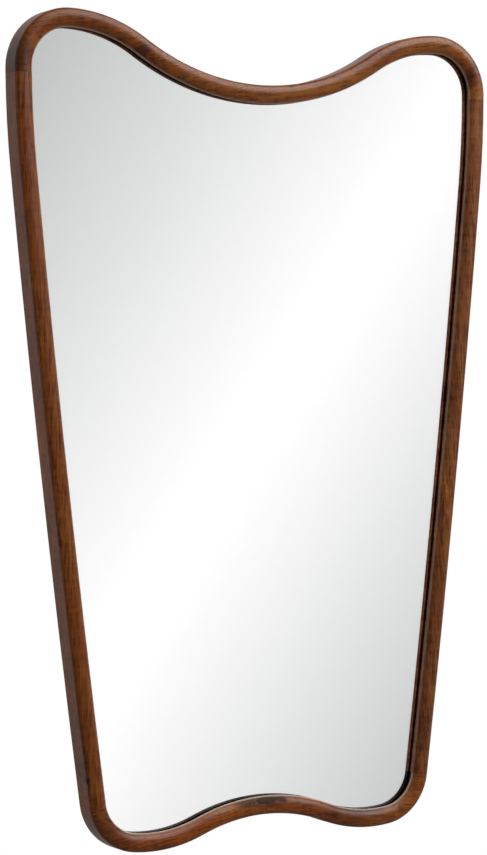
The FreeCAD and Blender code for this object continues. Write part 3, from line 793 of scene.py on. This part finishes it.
def addScrew(made, head, turn):
    cosine, sine = math.cos(turn), math.sin(turn)

    def point(x, z, drop):
        # Y falls from the top of the head, which is at zero, to the screw's tip
        return made.verts.new((
            head.x + x * cosine - z * sine, head.y - drop, head.z + x * sine + z * cosine,
        ))

    around = screw["around"]
    angles = [2 * math.pi * step / around for step in range(around)]
    ring = [(math.cos(angle), math.sin(angle)) for angle in angles]
    cross = crossOutline()
    flat = list(cross)
    for share in screw["domeRings"]:
        radius = share * screw["headRadius"]
        flat += [(radius * x, radius * z) for x, z in ring]
    edges = [(step, (step + 1) % len(cross)) for step in range(len(cross))]
    points, _, triangles, _, _, _ = geometry.delaunay_2d_cdt(
        [Vector(spot) for spot in flat], edges, [], 0, screw["weldWithin"])
    top = [point(spot.x, spot.y, domeDrop(min(spot.length, screw["headRadius"]))) for spot in points]
    for triangle in triangles:
        middle = sum((points[corner] for corner in triangle), Vector((0.0, 0.0))) / 3
        if not inCross(middle.x, middle.y):
            made.faces.new([top[corner] for corner in triangle])
    # walls and floor of the recess
    floor = [point(screw["taper"] * x, screw["taper"] * z, screw["recess"]) for x, z in cross]
    for step in range(len(cross)):
        after = (step + 1) % len(cross)
        made.faces.new((top[step], top[after], floor[after], floor[step]))
    made.faces.new(floor)
    # rim, underside, thread and tip
    levels = [(screw["headRadius"], screw["headHeight"]), (screw["shankRadius"], screw["headHeight"])]
    drop = screw["headHeight"] + screw["pitch"] / 2
    end = screw["headHeight"] + screw["length"]
    while drop < end - screw["pitch"]:
        crest = min(1.0, (end - drop) / screw["tipLength"])
        for radius, fall in ((screw["threadRoot"], 0.0), (screw["shankRadius"], screw["pitch"] / 2)):
            levels.append((max(screw["tipRadius"], crest * radius), drop + fall))
        drop += screw["pitch"]
    levels.append((screw["tipRadius"], end))
    before = top[-around:]
    for radius, drop in levels:
        current = [point(radius * x, radius * z, drop) for x, z in ring]
        for step in range(around):
            after = (step + 1) % around
            made.faces.new((before[step], before[after], current[after], current[step]))
        before = current
    made.faces.new(before)


def screwSet(name, nodeName):
    mesh = bpy.data.meshes.new(name)
    made = bmesh.new()
    for number, head in enumerate(screwPlaces(nodeName)):
        addScrew(made, head, screw["firstTurn"] + screw["nextTurn"] * number)
    bmesh.ops.recalc_face_normals(made, faces=made.faces)
    for face in made.faces:
        face.smooth = True
    for edge in made.edges:
        edge.smooth = edge.calc_face_angle(0.0) < screw["crease"]
    made.to_mesh(mesh)
    made.free()
    piece = bpy.data.objects.new(name, mesh)
    scene.collection.objects.link(piece)
    mesh.materials.append(wireZinc)
    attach(piece, "mirror")
    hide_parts(nodeName)


for name, nodeName in (
    ("clipScrewSet", "clip_screws"),
    ("leftHangerScrewSet", "left_hanger_screws"),
    ("rightHangerScrewSet", "right_hanger_screws"),
):
    screwSet(name, nodeName)
print("screws ready")


# Rubber bumpers

bumper = {
    "pale": (0.66, 0.67, 0.64, 1),
    "soiled": (0.46, 0.45, 0.41, 1),
    "soiledShare": 0.7,
    "smudgeSize": 0.004,
    "roughness": 0.48,
    "gritScale": 1200.0,
    "gritRough": 0.15,
    "bump": 0.2,
    "bumpHeight": 0.0001,
}


def rubberMaterial():
    material, tree, shader = newMaterial("paleRubber")
    place = objectPlace(tree)
    wear = placeGroup(tree, handling, Place=place, **{"Smudge Size": bumper["smudgeSize"]})
    grit = noiseNode(tree, place, bumper["gritScale"], 3.0, 0.6)
    soiled = times(tree, wear["Smudge"], bumper["soiledShare"])
    plug(tree, shader.inputs["Base Color"], mixColour(tree, soiled, bumper["pale"], bumper["soiled"]))
    rough = plus(tree, times(tree, grit, bumper["gritRough"]), bumper["roughness"])
    plug(tree, shader.inputs["Roughness"], rough)
    plug(tree, shader.inputs["Normal"], bumpNode(tree, grit, bumper["bump"], bumper["bumpHeight"]))
    return material


rubber = rubberMaterial()
for name in nodes:
    if name.endswith("_bumper"):
        dress(name, rubber)
print("back of the mirror dressed")


# Studio: floor, reflected card, lamps and camera

studio = {
    "floorLevel": -1.25,
    "floorSide": 5.0,
    "floorColour": (0.86, 0.86, 0.85, 1),
    "floorMottle": 0.98,        # what is left of the floor's colour where it is dullest
    "floorRough": 0.8,
    "floorGlow": 0.35,          # what the camera alone sees added to the floor
    "cardDistance": -3.2,
    "cardCentre": (0.6, 1.1),
    "cardSize": (9.0, 4.8),
    "cardPeak": 1.09,
    "cardEdge": 0.60,
    "cardCool": (0.978, 1.0, 0.996, 1),
    "coolFade": (0.05, 0.6),
    "cardOnWood": 0.10,         # how bright the card is to surfaces other than the pane
    "cardAfterWood": 0.2,       # the share left for light that dull wood scattered into the pane
    "diagonal": 1.35,
    "bandShift": 2.62,
    "bandWidth": 2.30,
    "bandLevel": (-0.09, 0.04),     # the band is brightest here and fades on both sides
    "bandFade": 0.7,
    "roomDim": 0.055,           # the room as the mirror's wood and metal see it
}

# parts of the room that are brighter: the direction's axis, from and to where, and how bright at each
roomBehind = ("Y", -0.1, 0.85, 0.0, 0.40)
roomBehindRise = ("Z", -0.7, 0.5, 0.45, 1.45)
roomSides = {
    "right": ("X", 0.1, 0.9, 0.0, 0.16),
    "above": ("Z", 0.1, 0.9, 0.0, 0.06),
    "below": ("Z", -0.6, 0.0, 0.15, 0.0),
}

lamps = {
    "keySoftbox": {"at": (1.8, -2.3, 2.1), "aim": (0, 0, 0), "size": (2.2, 2.2), "power": 78},
    "topSoftbox": {"at": (0.3, -1.9, 2.55), "aim": (0, 0, 0), "size": (0.7, 0.7), "power": 8},
    "sideSoftbox": {"at": (2.41, -1.22, 1.29), "aim": (0.28, 0, 0.40), "size": (0.5, 0.5), "power": 7},
    "leftSoftbox": {"at": (-2.6, -0.4, 0.5), "aim": (0, 0, 0), "size": (1.6, 2.4), "power": 5.5},
}

camera = {
    "place": (-1.48813, -2.46801, 0.06805),
    "turn": 0.5398,             # to the right of straight on, in radians
    "dip": 0.0220,
    "roll": -0.0042,
    "lens": 107.56,
    "sensor": 36.0,
}


def flatPanel(name, width, height):
    mesh = bpy.data.meshes.new(name)
    made = bmesh.new()
    bmesh.ops.create_grid(made, x_segments=1, y_segments=1, size=0.5)
    bmesh.ops.scale(made, vec=(width, height, 1.0), verts=made.verts)
    made.to_mesh(mesh)
    made.free()
    panel = bpy.data.objects.new(name, mesh)
    scene.collection.objects.link(panel)
    return panel


def buildFloor():
    floor = flatPanel("studioFloor", studio["floorSide"], studio["floorSide"])
    floor.location = (0.0, 0.0, studio["floorLevel"])
    material, tree, shader = newMaterial("studioFloorPaint")
    mottling = noiseNode(tree, objectPlace(tree), 3.0, 3.0)
    shade = tuple(studio["floorMottle"] * part for part in studio["floorColour"][:3]) + (1,)
    plug(tree, shader.inputs["Base Color"], mixColour(tree, mottling, studio["floorColour"], shade))
    shader.inputs["Roughness"].default_value = studio["floorRough"]
    # the camera sees the floor paler, and its shadow stays
    shader.inputs["Emission Color"].default_value = (1.0, 1.0, 1.0, 1)
    seen = tree.nodes.new("ShaderNodeLightPath").outputs["Is Camera Ray"]
    plug(tree, shader.inputs["Emission Strength"], times(tree, seen, studio["floorGlow"]))
    floor.data.materials.append(material)
    # the floor takes the shadow and throws no light back up
    floor.visible_diffuse = False
    floor.visible_glossy = False


def throughPane(tree, whenScattered):
    # 1 for a ray that last left the pane, and less where dull wood scattered it before
    path = tree.nodes.new("ShaderNodeLightPath").outputs
    share = rangeNode(tree, path["Diffuse Depth"], 0.0, 1.0, 1.0, whenScattered, smooth=False)
    return times(tree, path["Is Transmission Ray"], share)


def buildCard():
    # a pale card in front of the mirror, brightest along one slanting band
    card = flatPanel("reflectedCard", *studio["cardSize"])
    card.location = (studio["cardCentre"][0], studio["cardDistance"], studio["cardCentre"][1])
    card.rotation_euler = (math.radians(90), 0.0, 0.0)
    card.visible_camera = False
    card.visible_diffuse = False
    card.visible_shadow = False
    material = bpy.data.materials.new("cardLight")
    material.use_nodes = True
    tree = material.node_tree
    tree.nodes.clear()
    split = tree.nodes.new("ShaderNodeSeparateXYZ")
    plug(tree, split.inputs[0], tree.nodes.new("ShaderNodeNewGeometry").outputs["Position"])
    slant = minus(tree, split.outputs["Z"], times(tree, split.outputs["X"], studio["diagonal"]))
    band = mathNode(tree, "DIVIDE", plus(tree, slant, studio["bandShift"]), studio["bandWidth"])
    foot, head = studio["bandLevel"]
    away = mathNode(tree, "MAXIMUM", minus(tree, band, head), minus(tree, foot, band))
    bright = rangeNode(tree, away, 0.0, studio["bandFade"], studio["cardPeak"], studio["cardEdge"],
                       smooth=False)
    # through the pane the card is bright, and elsewhere it stays a dim wall
    clear = throughPane(tree, studio["cardAfterWood"])
    dim = times(tree, minus(tree, 1.0, clear), studio["cardOnWood"])
    glow = tree.nodes.new("ShaderNodeEmission")
    cool = rangeNode(tree, away, *studio["coolFade"])
    plug(tree, glow.inputs["Color"], mixColour(tree, cool, (1.0, 1.0, 1.0, 1), studio["cardCool"]))
    plug(tree, glow.inputs["Strength"], plus(tree, times(tree, bright, clear), dim))
    output = tree.nodes.new("ShaderNodeOutputMaterial")
    tree.links.new(glow.outputs[0], output.inputs["Surface"])
    card.data.materials.append(material)


def buildWorld():
    world = bpy.data.worlds.new("studioWorld")
    scene.world = world
    world.use_nodes = True
    tree = world.node_tree
    tree.nodes.clear()
    split = tree.nodes.new("ShaderNodeSeparateXYZ")
    plug(tree, split.inputs[0], tree.nodes.new("ShaderNodeTexCoord").outputs["Generated"])

    def brighter(axis, start, end, atStart, atEnd):
        return rangeNode(tree, split.outputs[axis], start, end, atStart, atEnd)

    room = times(tree, brighter(*roomBehind), brighter(*roomBehindRise))
    room = plus(tree, room, studio["roomDim"])
    for side in roomSides.values():
        room = plus(tree, room, brighter(*side))
    # plain white to the camera and in the mirror, and a dimmer room that lights the mirror
    seen = tree.nodes.new("ShaderNodeLightPath").outputs["Is Camera Ray"]
    white = mathNode(tree, "MAXIMUM", seen, throughPane(tree, 0.0))
    level = plus(tree, times(tree, minus(tree, 1.0, white), room), white)
    background = tree.nodes.new("ShaderNodeBackground")
    background.inputs["Color"].default_value = (1.0, 1.0, 1.0, 1)
    plug(tree, background.inputs["Strength"], level)
    output = tree.nodes.new("ShaderNodeOutputWorld")
    tree.links.new(background.outputs[0], output.inputs["Surface"])


def buildLamps():
    for name, spec in lamps.items():
        light = bpy.data.lights.new(name, "AREA")
        light.shape = "RECTANGLE"
        light.size, light.size_y = spec["size"]
        light.energy = spec["power"]
        lamp = bpy.data.objects.new(name, light)
        scene.collection.objects.link(lamp)
        lamp.location = spec["at"]
        aim = Vector(spec["aim"]) - Vector(spec["at"])
        lamp.rotation_euler = aim.to_track_quat("-Z", "Y").to_euler()
        lamp.visible_camera = False


def buildCamera():
    turn, dip, roll = camera["turn"], camera["dip"], camera["roll"]
    ahead = Vector((math.sin(turn) * math.cos(dip), math.cos(turn) * math.cos(dip), -math.sin(dip)))
    right = Vector((math.cos(turn), -math.sin(turn), 0.0))
    up = right.cross(ahead)
    rolledRight = right * math.cos(roll) + up * math.sin(roll)
    rolledUp = up * math.cos(roll) - right * math.sin(roll)
    lens = bpy.data.cameras.new("photoCamera")
    lens.lens = camera["lens"]
    lens.sensor_width = camera["sensor"]
    eye = bpy.data.objects.new("photoCamera", lens)
    scene.collection.objects.link(eye)
    turned = Matrix((rolledRight, rolledUp, -ahead)).transposed()
    eye.matrix_world = Matrix.Translation(camera["place"]) @ turned.to_4x4()
    scene.camera = eye


buildFloor()
buildCard()
buildWorld()
buildLamps()
buildCamera()
print("studio ready")
